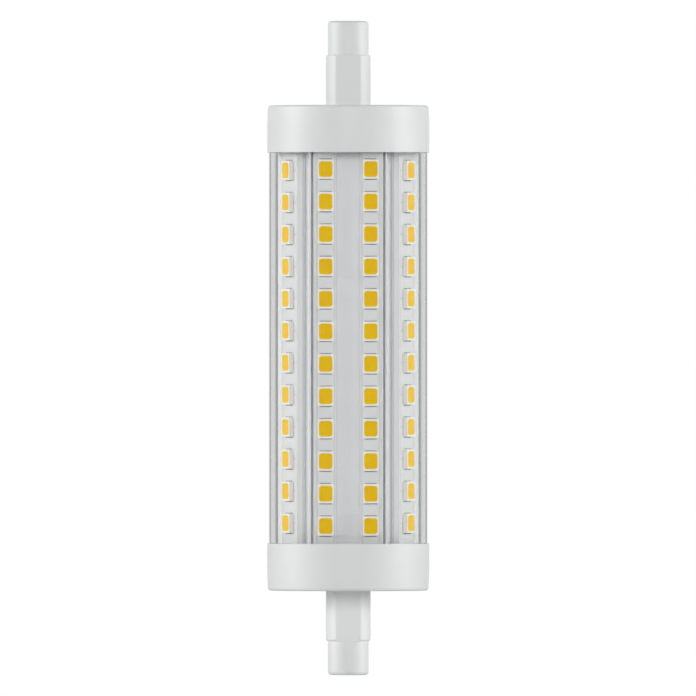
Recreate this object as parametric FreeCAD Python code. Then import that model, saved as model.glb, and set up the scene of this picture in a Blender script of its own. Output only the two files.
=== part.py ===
import FreeCAD, Part
import math
import os

Vector = FreeCAD.Vector

# A double-ended lamp for a 118 mm linear holder, in millimetres.
# The lamp's axis is Z, its middle is the origin and its front faces -Y.
# Angles around the axis start at the front and run towards +X.

# Lengths along the axis
overall_length = 118.0
contact_recess = 1.9
barrel_length = 15.25
nose_length = 6.15
cap_length = 8.5
tube_engagement = 6.0

# Barrel and its tip
barrel_radius = 4.03
barrel_shoulder_chamfer = 0.18
nose_radius = 3.67
nose_chamfer = 0.6
flat_distance = 3.36
flat_ramp = 1.2
flat_shoulder_gap = 0.35

# Cup of the end cap
cap_step = 0.33
cap_corner_chamfer = 0.4
cap_end_wall = 1.6
tube_end_gap = 0.15
stop_width = 1.6
stop_count = 6
stop_drop = 0.5
finger_thickness = 1.2
finger_reach = 3.0

# Clear cover tube
tube_radius = 14.29
tube_wall = 1.29
tube_rebate = 0.54

# Contact in the barrel's recess
recess_radius = 2.45
contact_head_radius = 2.2
contact_head_length = 1.2
contact_dimple = 0.25
contact_pin_radius = 1.1
contact_tail_length = 1.2

# Extruded heat sink: three wide lands, each between two narrow ones
land_pitch_angle = 60.0
land_step = 0.51
seat_height = 0.47
sink_wall = 1.85
rail_inset = 0.546
rail_height = 1.1
rail_thickness = 0.33
slit_width = 0.35
slit_depth = 1.65
rail_tip_clearance = 0.15

# Light-emitting boards
board_thickness = 1.0
paired_board_width = 3.5
single_board_width = 5.4
lower_board_margin = 2.3

# Light-emitting diode packages
package_width = 2.8
package_length = 3.5
package_height = 0.72
window_width = 2.3
window_length = 2.95
phosphor_depth = 0.4
phosphor_drop = 0.04
paired_package_pitch = 5.84
single_package_pitch = 5.78
paired_row_rise = 0.07
single_row_rise = 0.21
package_row_margin = 1.1

# Ring board that joins the nine boards at the upper end
ring_thickness = 0.8
ring_bore_clearance = 0.25

# Sleeve and driver board inside the heat sink
sleeve_wall = 0.6
sleeve_rib_size = 0.7
driver_board_margin = 2.75
driver_board_thickness = 1.0
component_clearance = 0.6

# Driver components in one row on the front of the driver board.
# Each headroom is what a component leaves free below the tallest one.
film_capacitor_width = 5.0
film_capacitor_length = 7.5
film_capacitor_headroom = 1.2
varistor_headroom = 1.2
varistor_thickness = 3.2
choke_headroom = 1.0
choke_winding_inset = 0.4
choke_winding_thickness = 1.4
choke_length = 6.5
choke_flange = 0.8
smoothing_capacitor_length = 10.0
inductor_width = 7.0
inductor_headroom = 1.0
inductor_length = 7.0
inductor_flange = 0.9
inductor_winding_thickness = 1.2
inductor_winding_inset = 0.6
output_capacitor_headroom = 1.7
output_capacitor_length = 7.0

# Driver components on the back of the driver board
bridge_size = (4.0, 1.6, 4.8)
chip_size = (3.9, 1.45, 4.9)
leg_pitch = 1.27
leg_width = 0.45
leg_reach = 1.0
leg_thickness = 0.2
bridge_place = 6.0
chip_place = -8.0
resistor_radius = 1.1
resistor_length = 6.0
resistor_lead_radius = 0.3
resistor_lead_reach = 1.8
resistor_place = 17.0

# Wires
contact_wire_radius = 0.55
wire_pad_margin = 1.0
wire_pad_length = 2.5
output_wire_radius = 0.45
output_wire_inset = 2.2
output_wire_overlap = 2.0

# Fits and cutting room
sliding_gap = 0.05
cutter_margin = 1.0

# Places along the axis that follow from the lengths
half_length = overall_length / 2
shoulder_z = half_length - nose_length
cap_outer_z = half_length - barrel_length
cap_mouth_z = cap_outer_z - cap_length
tube_end_z = cap_mouth_z + tube_engagement
tube_seat_z = tube_end_z + tube_end_gap
cap_floor_z = cap_outer_z - cap_end_wall
stop_z = tube_end_z - stop_drop
sink_top_z = stop_z - ring_thickness
contact_face_z = half_length - contact_recess
contact_seat_z = contact_face_z - contact_head_length
finger_end_z = stop_z - finger_reach
contact_tail_z = cap_floor_z - contact_tail_length
driver_board_end_z = finger_end_z - driver_board_margin
wire_pad_z = driver_board_end_z - wire_pad_margin - wire_pad_length

# Radii and distances from the axis that follow from the tube and the fits
cap_radius = tube_radius + cap_step
tube_bore_radius = tube_radius - tube_wall
tube_rebate_radius = tube_radius - tube_rebate
cap_bore_radius = tube_rebate_radius + sliding_gap
cap_wall_middle = (cap_bore_radius + cap_radius) / 2

# Across a wide land: its corner lies at land_corner, and the outer rail's tip corner
# touches a circle inside the tube, which fixes how far out the lands can be
land_pitch = math.radians(land_pitch_angle)
corner_slope = (1 - math.cos(land_pitch)) / math.sin(land_pitch)
corner_start = land_step / math.sin(land_pitch)
rails_width = 2 * rail_thickness + slit_width
tip_start = corner_start - rail_inset + rails_width
tip_circle = tube_bore_radius - rail_tip_clearance
half_b = rail_height + corner_slope * tip_start
square = 1 + corner_slope ** 2
rest = rail_height ** 2 + tip_start ** 2 - tip_circle ** 2
wide_land_distance = (math.sqrt(half_b ** 2 - square * rest) - half_b) / square
narrow_land_distance = wide_land_distance + land_step
seat_distance = narrow_land_distance + seat_height
land_corner = corner_slope * wide_land_distance + corner_start
rail_tip_distance = wide_land_distance + rail_height
rail_offset = land_corner - rail_inset
inner_rail_end = rail_offset + rail_thickness
outer_rail_start = inner_rail_end + slit_width
outer_rail_end = outer_rail_start + rail_thickness
paired_board_place = rail_offset - sliding_gap - paired_board_width / 2

# Bore of the heat sink and what fits in it
sink_bore_radius = wide_land_distance - sink_wall
sleeve_radius = sink_bore_radius - sliding_gap
sleeve_bore_radius = sleeve_radius - sleeve_wall
finger_outer = math.sqrt(sleeve_radius ** 2 - (stop_width / 2) ** 2)
finger_inner = finger_outer - finger_thickness
ring_bore_radius = sink_bore_radius + ring_bore_clearance

# Driver board and the room in front of it
driver_board_offset = contact_wire_radius
driver_board_back = driver_board_offset + driver_board_thickness
driver_board_edge = math.sqrt(sleeve_bore_radius ** 2 - driver_board_back ** 2) - sliding_gap
component_room = sleeve_bore_radius + driver_board_offset - component_clearance
output_wire_side = driver_board_edge - output_wire_inset
output_wire_end = ring_bore_radius + output_wire_overlap

ORIGIN = Vector(0, 0, 0)
AXIS = Vector(0, 0, 1)


def turned(profile):
    """Solid of revolution about the lamp's axis from (radius, z) corners."""
    corners = [Vector(radius, 0, z) for radius, z in profile]
    face = Part.Face(Part.makePolygon(corners + corners[:1]))
    return face.revolve(ORIGIN, AXIS, 360)


def extruded(outline, low, high):
    """Solid along Z between two heights from a closed (x, y) outline."""
    points = [Vector(x, y, low) for x, y in outline]
    face = Part.Face(Part.makePolygon(points + points[:1]))
    return face.extrude(Vector(0, 0, high - low))


def extruded_across(outline, reach):
    """Solid across the front, reaching as far left as right, from a closed (out, z) outline."""
    points = [Vector(-reach, -out, z) for out, z in outline]
    face = Part.Face(Part.makePolygon(points + points[:1]))
    return face.extrude(Vector(2 * reach, 0, 0))


def block(x_range, y_range, z_range):
    """Box between pairs of limits."""
    size = [high - low for low, high in (x_range, y_range, z_range)]
    return Part.makeBox(*size, Vector(x_range[0], y_range[0], z_range[0]))


def wire_along(corners, radius):
    """Round wire along straight runs, mitred where it is bent over."""
    section = Part.Wire(Part.makeCircle(radius, corners[0], corners[1] - corners[0]))
    sweep = Part.BRepOffsetAPI.MakePipeShell(Part.makePolygon(corners))
    sweep.setTransitionMode(1)
    sweep.add(section)
    sweep.build()
    sweep.makeSolid()
    return sweep.shape()


def around(shape, angle):
    """Copy of a shape turned about the lamp's axis."""
    copy = shape.copy()
    copy.rotate(ORIGIN, AXIS, angle)
    return copy


def mirrored_end(shape):
    """Copy of an upper end piece for the lower end."""
    return shape.mirror(ORIGIN, AXIS)


# End caps: cup and barrel moulded in one

def cap_body():
    """Cup, barrel and stepped contact bore as one turned form."""
    bore = contact_pin_radius + sliding_gap
    head_bore = contact_head_radius + sliding_gap
    return turned([
        (recess_radius, half_length),
        (nose_radius - nose_chamfer, half_length),
        (nose_radius, half_length - nose_chamfer),
        (nose_radius, shoulder_z),
        (barrel_radius - barrel_shoulder_chamfer, shoulder_z),
        (barrel_radius, shoulder_z - barrel_shoulder_chamfer),
        (barrel_radius, cap_outer_z),
        (cap_radius - cap_corner_chamfer, cap_outer_z),
        (cap_radius, cap_outer_z - cap_corner_chamfer),
        (cap_radius, cap_mouth_z),
        (cap_bore_radius, cap_mouth_z),
        (cap_bore_radius, cap_floor_z),
        (bore, cap_floor_z),
        (bore, contact_seat_z),
        (head_bore, contact_seat_z),
        (head_bore, contact_face_z),
        (recess_radius, contact_face_z),
    ])


def cap_stops():
    """Ribs on the cap floor that stop the tube and the sink, each with a finger in the sink's bore."""
    outline = [
        (finger_inner, finger_end_z),
        (finger_outer, finger_end_z),
        (finger_outer, stop_z),
        (wide_land_distance, stop_z),
        (wide_land_distance, tube_seat_z),
        (cap_wall_middle, tube_seat_z),
        (cap_wall_middle, cap_floor_z),
        (finger_inner, cap_floor_z),
    ]
    stop = extruded_across(outline, stop_width / 2)
    return [around(stop, 360 / stop_count * index) for index in range(stop_count)]


def barrel_flat():
    """Cutter for one flat of the barrel, ramped out to the round below the shoulder."""
    front = barrel_radius + cutter_margin
    ramp_foot = shoulder_z - flat_shoulder_gap - flat_ramp
    steepness = flat_ramp / (barrel_radius - flat_distance)
    ramp_top = ramp_foot + steepness * (front - flat_distance)
    outline = [
        (flat_distance, cap_outer_z),
        (flat_distance, ramp_foot),
        (front, ramp_top),
        (front, cap_outer_z),
    ]
    return extruded_across(outline, barrel_radius)


def end_cap():
    """Upper end cap with its stops and its two barrel flats."""
    cap = cap_body().fuse(cap_stops())
    return cap.cut([around(barrel_flat(), angle) for angle in (0, 180)]).removeSplitter()


# Clear tube

def cover_tube():
    """Extruded clear tube, thinned at both ends to enter the caps."""
    return turned([
        (tube_bore_radius, -tube_end_z),
        (tube_rebate_radius, -tube_end_z),
        (tube_rebate_radius, -cap_mouth_z),
        (tube_radius, -cap_mouth_z),
        (tube_radius, cap_mouth_z),
        (tube_rebate_radius, cap_mouth_z),
        (tube_rebate_radius, tube_end_z),
        (tube_bore_radius, tube_end_z),
    ])


# Contacts

def contact():
    """Turned contact pin with a dimpled head in the barrel's recess."""
    return turned([
        (0, contact_face_z - contact_dimple),
        (contact_head_radius / 2, contact_face_z),
        (contact_head_radius, contact_face_z),
        (contact_head_radius, contact_seat_z),
        (contact_pin_radius, contact_seat_z),
        (contact_pin_radius, contact_tail_z),
        (0, contact_tail_z),
    ])


def contact_wire():
    """Insulated wire from the contact's tail straight down onto the driver board."""
    length = contact_tail_z - wire_pad_z
    return Part.makeCylinder(contact_wire_radius, length, Vector(0, 0, wire_pad_z))


def output_wires():
    """Two wires from the driver board, out between the caps' fingers to the link ring."""
    on_face = driver_board_offset - output_wire_radius
    on_ring = stop_z + output_wire_radius
    wires = []
    for side in (-1, 1):
        wires.append(wire_along([
            Vector(side * output_wire_side, on_face, wire_pad_z),
            Vector(side * output_wire_side, on_face, on_ring),
            Vector(side * output_wire_end, on_face, on_ring),
        ], output_wire_radius))
    return Part.Compound(wires)


# Heat sink

def sink_half_sector():
    """Outline from the first rail of a wide land to the seat of the next narrow land."""
    slit_floor = rail_tip_distance - slit_depth
    rail_foot = (narrow_land_distance - outer_rail_end * math.sin(land_pitch)) / math.cos(land_pitch)
    half_seat = single_board_width / 2
    points = [
        (rail_offset, wide_land_distance),
        (rail_offset, rail_tip_distance),
        (inner_rail_end, rail_tip_distance),
        (inner_rail_end, slit_floor),
        (outer_rail_start, slit_floor),
        (outer_rail_start, rail_tip_distance),
        (outer_rail_end, rail_tip_distance),
        (outer_rail_end, rail_foot),
    ]
    for out in (narrow_land_distance, seat_distance):
        points.append(turned_point(-half_seat, out, land_pitch))
    return points


def turned_point(across, out, turn):
    """Point of a land at another angle, in the first land's own (across, out) places."""
    return (across * math.cos(turn) + out * math.sin(turn),
            out * math.cos(turn) - across * math.sin(turn))


def sink_outline():
    """Whole outline of the extrusion, three wide lands between three narrow ones."""
    half = sink_half_sector()
    other_half = [turned_point(-across, out, 2 * land_pitch) for across, out in reversed(half)]
    outline = []
    for index in range(3):
        for across, out in half + other_half:
            x, front = turned_point(across, out, 2 * land_pitch * index)
            outline.append((x, -front))
    return outline


def heat_sink():
    """Extruded aluminium profile with a round bore for the driver."""
    profile = extruded(sink_outline(), -stop_z, sink_top_z)
    bore = Part.makeCylinder(sink_bore_radius, 2 * half_length, Vector(0, 0, -half_length))
    return profile.cut(bore)


# Boards with their diodes

def board_layout():
    """One (land angle, place across, board width, seat distance, row) for each board."""
    single_row = (single_package_pitch, single_row_rise)
    paired_row = (paired_package_pitch, paired_row_rise)
    boards = []
    for land in range(6):
        angle = land * land_pitch_angle
        if land % 2:
            boards.append((angle, 0, single_board_width, seat_distance, single_row))
            continue
        for side in (-1, 1):
            boards.append((angle, side * paired_board_place, paired_board_width,
                           wide_land_distance, paired_row))
    return boards


def led_board(across, width, seat):
    """Aluminium-backed board strip, lying on a land that faces the front."""
    return block((across - width / 2, across + width / 2), (-seat - board_thickness, -seat),
                 (-stop_z + lower_board_margin, sink_top_z + ring_thickness))


def window(front, depth):
    """Window of a package, from a distance below its front face inwards."""
    return block((-window_width / 2, window_width / 2), (front, front + depth),
                 (-window_length / 2, window_length / 2))


def led_package():
    """White package with its window hollowed out, front face at y = 0."""
    body = block((-package_width / 2, package_width / 2), (0, package_height),
                 (-package_length / 2, package_length / 2))
    return body.cut(window(0, phosphor_drop + phosphor_depth))


def led_phosphor():
    """Yellow phosphor fill, a little below the package's front face."""
    return window(phosphor_drop, phosphor_depth)


def column(item, across, seat, row):
    """Row of like items between the caps, along one board that faces the front."""
    pitch, rise = row
    front = -seat - board_thickness - package_height
    room = 2 * (cap_mouth_z - package_row_margin) - package_length
    count = int(room / pitch) + 1
    copies = []
    for index in range(count):
        copy = item.copy()
        copy.translate(Vector(across, front, pitch * (index - (count - 1) / 2) + rise))
        copies.append(copy)
    return Part.Compound(copies)


def board_parts():
    """Every board, its packages and their phosphor fills, by node name."""
    package = led_package()
    phosphor = led_phosphor()
    parts = {}
    for number, (angle, across, width, seat, row) in enumerate(board_layout(), start=1):
        parts[f"led_board_{number}"] = around(led_board(across, width, seat), angle)
        parts[f"led_housings_{number}"] = around(column(package, across, seat, row), angle)
        parts[f"led_phosphors_{number}"] = around(column(phosphor, across, seat, row), angle)
    return parts


def link_ring():
    """Six-sided ring board on the heat sink's upper end, with a board's end against each side."""
    side = (seat_distance - wide_land_distance * math.cos(land_pitch)) / math.sin(land_pitch)
    outline = []
    for index in range(3):
        turn = 2 * land_pitch * index
        for across, angle in ((side, turn), (-side, turn + 2 * land_pitch)):
            x, front = turned_point(across, wide_land_distance, angle)
            outline.append((x, -front))
    bore = Part.makeCylinder(ring_bore_radius, ring_thickness, Vector(0, 0, sink_top_z))
    return extruded(outline, sink_top_z, stop_z).cut(bore)


# Sleeve and driver

def insulating_sleeve():
    """Thin sleeve in the heat sink, with two pairs of ribs that hold the driver board."""
    end = finger_end_z - sliding_gap
    sleeve = turned([
        (sleeve_bore_radius, -end),
        (sleeve_radius, -end),
        (sleeve_radius, end),
        (sleeve_bore_radius, end),
    ])
    edge = driver_board_edge
    front = driver_board_offset - sliding_gap
    back = driver_board_back + sliding_gap
    ribs = []
    for low, high in ((front - sleeve_rib_size, front), (back, back + sleeve_rib_size)):
        for x_range in ((-sleeve_radius, -edge + sleeve_rib_size),
                        (edge - sleeve_rib_size, sleeve_radius)):
            ribs.append(block(x_range, (low, high), (-end, end)))
    envelope = Part.makeCylinder(sleeve_bore_radius + sleeve_wall / 2, 2 * end, Vector(0, 0, -end))
    ribs = [rib.common(envelope) for rib in ribs]
    return sleeve.fuse(ribs).removeSplitter()


def driver_board():
    """Fibreglass board between the sleeve's ribs."""
    return block((-driver_board_edge, driver_board_edge), (driver_board_offset, driver_board_back),
                 (-driver_board_end_z, driver_board_end_z))


def lying(profile, radius, place):
    """Turned part of a given outer radius lying on the front of the driver board."""
    part = turned(profile)
    part.translate(Vector(0, driver_board_offset - radius, place))
    return part


def film_capacitor(place):
    """Boxed film capacitor."""
    top = driver_board_offset - component_room + film_capacitor_headroom
    return block((-film_capacitor_width / 2, film_capacitor_width / 2), (top, driver_board_offset),
                 (place, place + film_capacitor_length))


def varistor(place):
    """Disc standing across the driver board."""
    radius = (component_room - varistor_headroom) / 2
    return lying([(0, 0), (radius, 0), (radius, varistor_thickness), (0, varistor_thickness)],
                 radius, place)


def choke_core(place):
    """Spool-shaped ferrite core of the filter choke."""
    radius = (component_room - choke_headroom) / 2
    core_radius = radius - choke_winding_inset - choke_winding_thickness
    return lying([
        (0, 0),
        (radius, 0),
        (radius, choke_flange),
        (core_radius, choke_flange),
        (core_radius, choke_length - choke_flange),
        (radius, choke_length - choke_flange),
        (radius, choke_length),
        (0, choke_length),
    ], radius, place)


def choke_winding(place):
    """Copper winding that fills the choke's spool."""
    radius = (component_room - choke_headroom) / 2
    outer = radius - choke_winding_inset
    return lying([
        (outer - choke_winding_thickness, choke_flange),
        (outer, choke_flange),
        (outer, choke_length - choke_flange),
        (outer - choke_winding_thickness, choke_length - choke_flange),
    ], radius, place)


def capacitor_can(radius, length, place):
    """Electrolytic capacitor can lying along the board."""
    return lying([(0, 0), (radius, 0), (radius, length), (0, length)], radius, place)


def smoothing_capacitor(place):
    """Large electrolytic capacitor, the tallest part on the board."""
    return capacitor_can(component_room / 2, smoothing_capacitor_length, place)


def output_capacitor(place):
    """Small electrolytic capacitor."""
    radius = (component_room - output_capacitor_headroom) / 2
    return capacitor_can(radius, output_capacitor_length, place)


def inductor_limits(inset):
    """Limits across and above the driver board, set in from the inductor's flanges."""
    top = driver_board_offset - component_room + inductor_headroom
    return ((-inductor_width / 2 + inset, inductor_width / 2 - inset),
            (top + inset, driver_board_offset - inset))


def inductor_core(place):
    """Square-flanged ferrite core of the power inductor."""
    across, above = inductor_limits(0)
    core = block(*inductor_limits(inductor_winding_inset + inductor_winding_thickness),
                 (place, place + inductor_length))
    flanges = [block(across, above, (place, place + inductor_flange)),
               block(across, above, (place + inductor_length - inductor_flange,
                                     place + inductor_length))]
    return core.fuse(flanges).removeSplitter()


def inductor_winding(place):
    """Winding between the power inductor's flanges."""
    across, above = inductor_limits(inductor_winding_inset)
    span = (place + inductor_flange, place + inductor_length - inductor_flange)
    return block(across, above, span).cut(inductor_core(place))


def gull_wing(size, place, pitch, per_side):
    """Surface-mounted body on the back of the board with flat legs on two sides."""
    width, height, length = size
    body = block((-width / 2, width / 2), (driver_board_back, driver_board_back + height),
                 (place, place + length))
    legs = []
    for index in range(per_side):
        middle = place + length / 2 + pitch * (index - (per_side - 1) / 2)
        legs.append(block((-width / 2 - leg_reach, width / 2 + leg_reach),
                          (driver_board_back, driver_board_back + leg_thickness),
                          (middle - leg_width / 2, middle + leg_width / 2)))
    return body.fuse(legs).removeSplitter()


def fusible_resistor():
    """Axial resistor on the back of the board, its leads laid straight on their pads."""
    half = resistor_length / 2
    reach = half + resistor_lead_reach
    part = turned([
        (0, -reach),
        (resistor_lead_radius, -reach),
        (resistor_lead_radius, -half),
        (resistor_radius, -half),
        (resistor_radius, half),
        (resistor_lead_radius, half),
        (resistor_lead_radius, reach),
        (0, reach),
    ])
    part.translate(Vector(0, driver_board_back + resistor_radius, resistor_place))
    return part


def driver_row():
    """Components on the front of the driver board, evenly spaced between the wire pads."""
    row = [
        (film_capacitor_length, {"film_capacitor": film_capacitor}),
        (varistor_thickness, {"surge_varistor": varistor}),
        (choke_length, {"filter_choke_core": choke_core, "filter_choke_winding": choke_winding}),
        (smoothing_capacitor_length, {"smoothing_capacitor": smoothing_capacitor}),
        (inductor_length, {"inductor_core": inductor_core, "inductor_winding": inductor_winding}),
        (output_capacitor_length, {"output_capacitor": output_capacitor}),
    ]
    used = sum(length for length, makers in row)
    gap = (2 * wire_pad_z - used) / (len(row) + 1)
    place = -wire_pad_z + gap
    parts = {}
    for length, makers in row:
        for name, make in makers.items():
            parts[name] = make(place)
        place += length + gap
    return parts


def lamp_parts():
    """Every piece of the lamp, by node name."""
    parts = {
        "upper_end_cap": end_cap(),
        "lower_end_cap": mirrored_end(end_cap()),
        "cover_tube": cover_tube(),
        "upper_contact": contact(),
        "lower_contact": mirrored_end(contact()),
        "upper_contact_wire": contact_wire(),
        "lower_contact_wire": mirrored_end(contact_wire()),
        "heat_sink": heat_sink(),
        "link_ring": link_ring(),
        "output_wires": output_wires(),
        "insulating_sleeve": insulating_sleeve(),
        "driver_board": driver_board(),
        "bridge_rectifier": gull_wing(bridge_size, bridge_place, 2 * leg_pitch, 2),
        "driver_chip": gull_wing(chip_size, chip_place, leg_pitch, 4),
        "fusible_resistor": fusible_resistor(),
    }
    parts.update(driver_row())
    parts.update(board_parts())
    return parts


os.makedirs("parts", exist_ok=True)
for name, shape in lamp_parts().items():
    shape.exportStep(f"parts/{name}.step")
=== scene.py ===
import math

import bmesh
import bpy
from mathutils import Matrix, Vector


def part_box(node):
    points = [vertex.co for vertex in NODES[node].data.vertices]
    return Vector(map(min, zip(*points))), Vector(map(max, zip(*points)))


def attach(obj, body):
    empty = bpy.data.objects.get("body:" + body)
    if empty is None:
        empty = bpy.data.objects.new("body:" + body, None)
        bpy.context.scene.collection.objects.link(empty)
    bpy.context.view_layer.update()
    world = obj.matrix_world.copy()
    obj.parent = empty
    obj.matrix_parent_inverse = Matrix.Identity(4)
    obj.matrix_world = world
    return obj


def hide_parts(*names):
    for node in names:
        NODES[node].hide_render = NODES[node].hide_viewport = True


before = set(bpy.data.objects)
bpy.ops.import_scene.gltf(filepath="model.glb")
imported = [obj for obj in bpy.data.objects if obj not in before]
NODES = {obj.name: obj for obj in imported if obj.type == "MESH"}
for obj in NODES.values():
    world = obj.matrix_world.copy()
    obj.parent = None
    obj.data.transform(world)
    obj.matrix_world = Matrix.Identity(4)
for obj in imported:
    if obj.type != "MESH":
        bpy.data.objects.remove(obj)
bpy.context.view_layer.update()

MM = 0.001

# Lengths along the lamp's axis, in millimetres, from its middle
HALF_LENGTH = 59.0
SHOULDER = 52.85
CAP_OUTER = 43.75
CAP_MOUTH = 35.25
CAP_FLOOR = 42.15
TUBE_END = 41.25
TUBE_SEAT = 41.4
STOP = 40.75
FINGER_END = 37.75
CONTACT_FACE = 57.1
CONTACT_SEAT = 55.9
CONTACT_TAIL = 40.95

# Radii and distances from the axis, in millimetres
NOSE_RADIUS = 3.67
BARREL_RADIUS = 4.03
FLAT_DISTANCE = 3.36
CAP_END_RADIUS = 14.49
CAP_RADIUS = 14.62
TUBE_RADIUS = 14.29
TUBE_REBATE_RADIUS = 13.75
TUBE_BORE_RADIUS = 13.0
RECESS_RADIUS = 2.45
CONTACT_HEAD_RADIUS = 2.2
CONTACT_PIN_RADIUS = 1.1

# Length of the cap's taper, depth of the contact's dimple, height above the cap at which the
# barrel's flats start, and clearance between pieces that fit
CAP_TAPER = 3.4
CONTACT_DIMPLE = 0.25
FLAT_FOOT = 0.15
GAP = 0.05

# Rounds of the turned and moulded forms
RECESS_ROUND = 0.12
NOSE_ROUND = 0.62
NOSE_FOOT_ROUND = 0.08
SHOULDER_ROUND = 0.34
BARREL_FOOT_ROUND = 0.12
CAP_END_ROUND = 0.5
LIP_ROUND = 0.04
LIP_INNER_ROUND = 0.06
TUBE_ROUND = 0.06
DIMPLE_ROUND = 0.3
CONTACT_HEAD_ROUND = 0.2
CONTACT_TAIL_ROUND = 0.15
SINK_EDGE_ROUND = 0.06

# Cap stops and their fingers
STOP_WIDTH = 1.6
STOP_COUNT = 6
STOP_CHAMFER = 0.1
FINGER_THICKNESS = 1.2

# Boards and diode packages
BOARD_THICKNESS = 1.0
PAIRED_BOARD_WIDTH = 3.5
SINGLE_BOARD_WIDTH = 5.4
BOARD_CORNER_ROUND = 0.4
BOARD_EDGE_CHAMFER = 0.03
PACKAGE_SIZE = (2.8, 0.72, 3.5)
PACKAGE_CORNER_ROUND = 0.12
WINDOW_SIDE_BORDER = 0.25
WINDOW_END_BORDER = 0.34
WINDOW_ROUND = 0.5
WINDOW_DEPTH = 0.44
PHOSPHOR_DROP = 0.04
PACKAGE_COUNT = 12
PAIRED_PITCH = 5.84
SINGLE_PITCH = 5.78
PAIRED_RISE = 0.07
SINGLE_RISE = 0.21
SOLDER_REACH = 0.16
SOLDER_HEIGHT = 0.3
SOLDER_INSET = 0.35
SOLDER_OVERLAP = 0.02
SOLDER_SLOPE = 0.9 * SOLDER_REACH

# Start and end of each soft step on the boards' faces, from the strip's edge or the split
COPPER_MARGIN = (0.3, 0.4)
COPPER_SPLIT = (0.14, 0.22)
SAWN_EDGE = (0.01, 0.04)

# In metres: corners this close are the same one, and those closer still are welded
NEAR = 0.01 * MM
WELD = 0.0025 * MM

# How finely round forms are spun
CAP_STEPS = 160
TUBE_STEPS = 256
CONTACT_STEPS = 64


# Modelling helpers

def deselect():
    """Leaves nothing selected and no mesh open."""
    if bpy.context.object and bpy.context.object.mode == "EDIT":
        bpy.ops.object.mode_set(mode="OBJECT")
    bpy.ops.object.select_all(action="DESELECT")


def choose(piece):
    """Makes one piece the only selected and active one."""
    deselect()
    piece.select_set(True)
    bpy.context.view_layer.objects.active = piece


def named(name):
    """Names the piece that was just added."""
    piece = bpy.context.object
    piece.name = name
    piece.data.name = name
    return piece


def apply_place():
    """Puts the active piece's place, turn and size into its mesh."""
    bpy.ops.object.transform_apply(location=True, rotation=True, scale=True)


def pick(kind, test):
    """Selects the vertices or edges of the open mesh that pass a test on their middle."""
    bpy.ops.mesh.select_mode(type=kind)
    bpy.ops.mesh.select_all(action="DESELECT")
    mesh = bpy.context.object.data
    shape = bmesh.from_edit_mesh(mesh)
    if kind == "VERT":
        for vertex in shape.verts:
            vertex.select = test(vertex.co)
    else:
        for edge in shape.edges:
            edge.select = test((edge.verts[0].co + edge.verts[1].co) / 2)
    shape.select_flush_mode()
    bmesh.update_edit_mesh(mesh)


def drawn(name, corners):
    """Line of corners in metres, extruded from one vertex to the next. Its mesh stays open."""
    deselect()
    bpy.ops.mesh.primitive_plane_add(size=MM, location=corners[0])
    apply_place()
    piece = named(name)
    bpy.ops.object.mode_set(mode="EDIT")
    bpy.ops.mesh.select_mode(type="VERT")
    bpy.ops.mesh.merge(type="CENTER")
    for start, end in zip(corners, corners[1:]):
        bpy.ops.mesh.extrude_region_move(TRANSFORM_OT_translate={"value": end - start})
    return piece


def spun(name, profile, rounds, steps, closed=True):
    """Profile of (radius, z) corners in millimetres, rounded and spun about the lamp's axis."""
    corners = [Vector((radius, 0, z)) * MM for radius, z in profile]
    piece = drawn(name, corners)
    if closed:
        ends = (corners[0], corners[-1])
        pick("VERT", lambda at: any((at - end).length < NEAR for end in ends))
        bpy.ops.mesh.edge_face_add()
    for (radius, z), size in rounds:
        corner = Vector((radius, 0, z)) * MM
        pick("VERT", lambda at: (at - corner).length < NEAR)
        bpy.ops.mesh.bevel(offset_type="OFFSET", offset=size * MM, segments=4, affect="VERTICES")
    bpy.ops.mesh.select_all(action="SELECT")
    bpy.ops.mesh.spin(steps=steps, angle=math.tau, center=(0, 0, 0), axis=(0, 0, 1))
    bpy.ops.mesh.select_all(action="SELECT")
    bpy.ops.mesh.remove_doubles(threshold=WELD)
    bpy.ops.mesh.normals_make_consistent(inside=False)
    bpy.ops.object.mode_set(mode="OBJECT")
    return piece


def cube(name, low, high):
    """Box between two corners in millimetres."""
    low, high = Vector(low) * MM, Vector(high) * MM
    deselect()
    bpy.ops.mesh.primitive_cube_add(size=1, location=(low + high) / 2, scale=high - low)
    apply_place()
    return named(name)


def rounded_edges(piece, width, segments=2, limit=30):
    """Rounds a piece's sharp edges with an applied bevel."""
    choose(piece)
    bpy.ops.object.modifier_add(type="BEVEL")
    bevel = piece.modifiers[-1]
    bevel.width = width * MM
    bevel.segments = segments
    bevel.limit_method = "ANGLE"
    bevel.angle_limit = math.radians(limit)
    bevel.harden_normals = False
    bpy.ops.object.modifier_apply(modifier=bevel.name)


def cut_away(piece, cutter):
    """Takes one piece out of another and removes the cutter."""
    choose(piece)
    bpy.ops.object.modifier_add(type="BOOLEAN")
    cut = piece.modifiers[-1]
    cut.operation = "DIFFERENCE"
    cut.solver = "EXACT"
    cut.object = cutter
    bpy.ops.object.modifier_apply(modifier=cut.name)
    bpy.data.objects.remove(cutter)


def joined(pieces):
    """Joins pieces into the first of them."""
    deselect()
    for piece in pieces:
        piece.select_set(True)
    bpy.context.view_layer.objects.active = pieces[0]
    bpy.ops.object.join()
    return pieces[0]


def copied(piece, name, place=(0, 0, 0), turn=(0, 0, 0)):
    """Copy with its own mesh, moved by millimetres and turned by degrees about the origin."""
    choose(piece)
    bpy.ops.object.duplicate(linked=False)
    copy = named(name)
    copy.location = Vector(place) * MM
    apply_place()
    copy.rotation_euler = [math.radians(angle) for angle in turn]
    apply_place()
    return copy


def smoothed(piece, angle=30):
    """Smooth shading with kept edges, in which the large faces stay true beside small rounds."""
    choose(piece)
    bpy.ops.object.shade_smooth_by_angle(angle=math.radians(angle))
    bpy.ops.object.modifier_add(type="WEIGHTED_NORMAL")
    weighting = piece.modifiers[-1]
    weighting.keep_sharp = True
    bpy.ops.object.modifier_apply(modifier=weighting.name)


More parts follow.
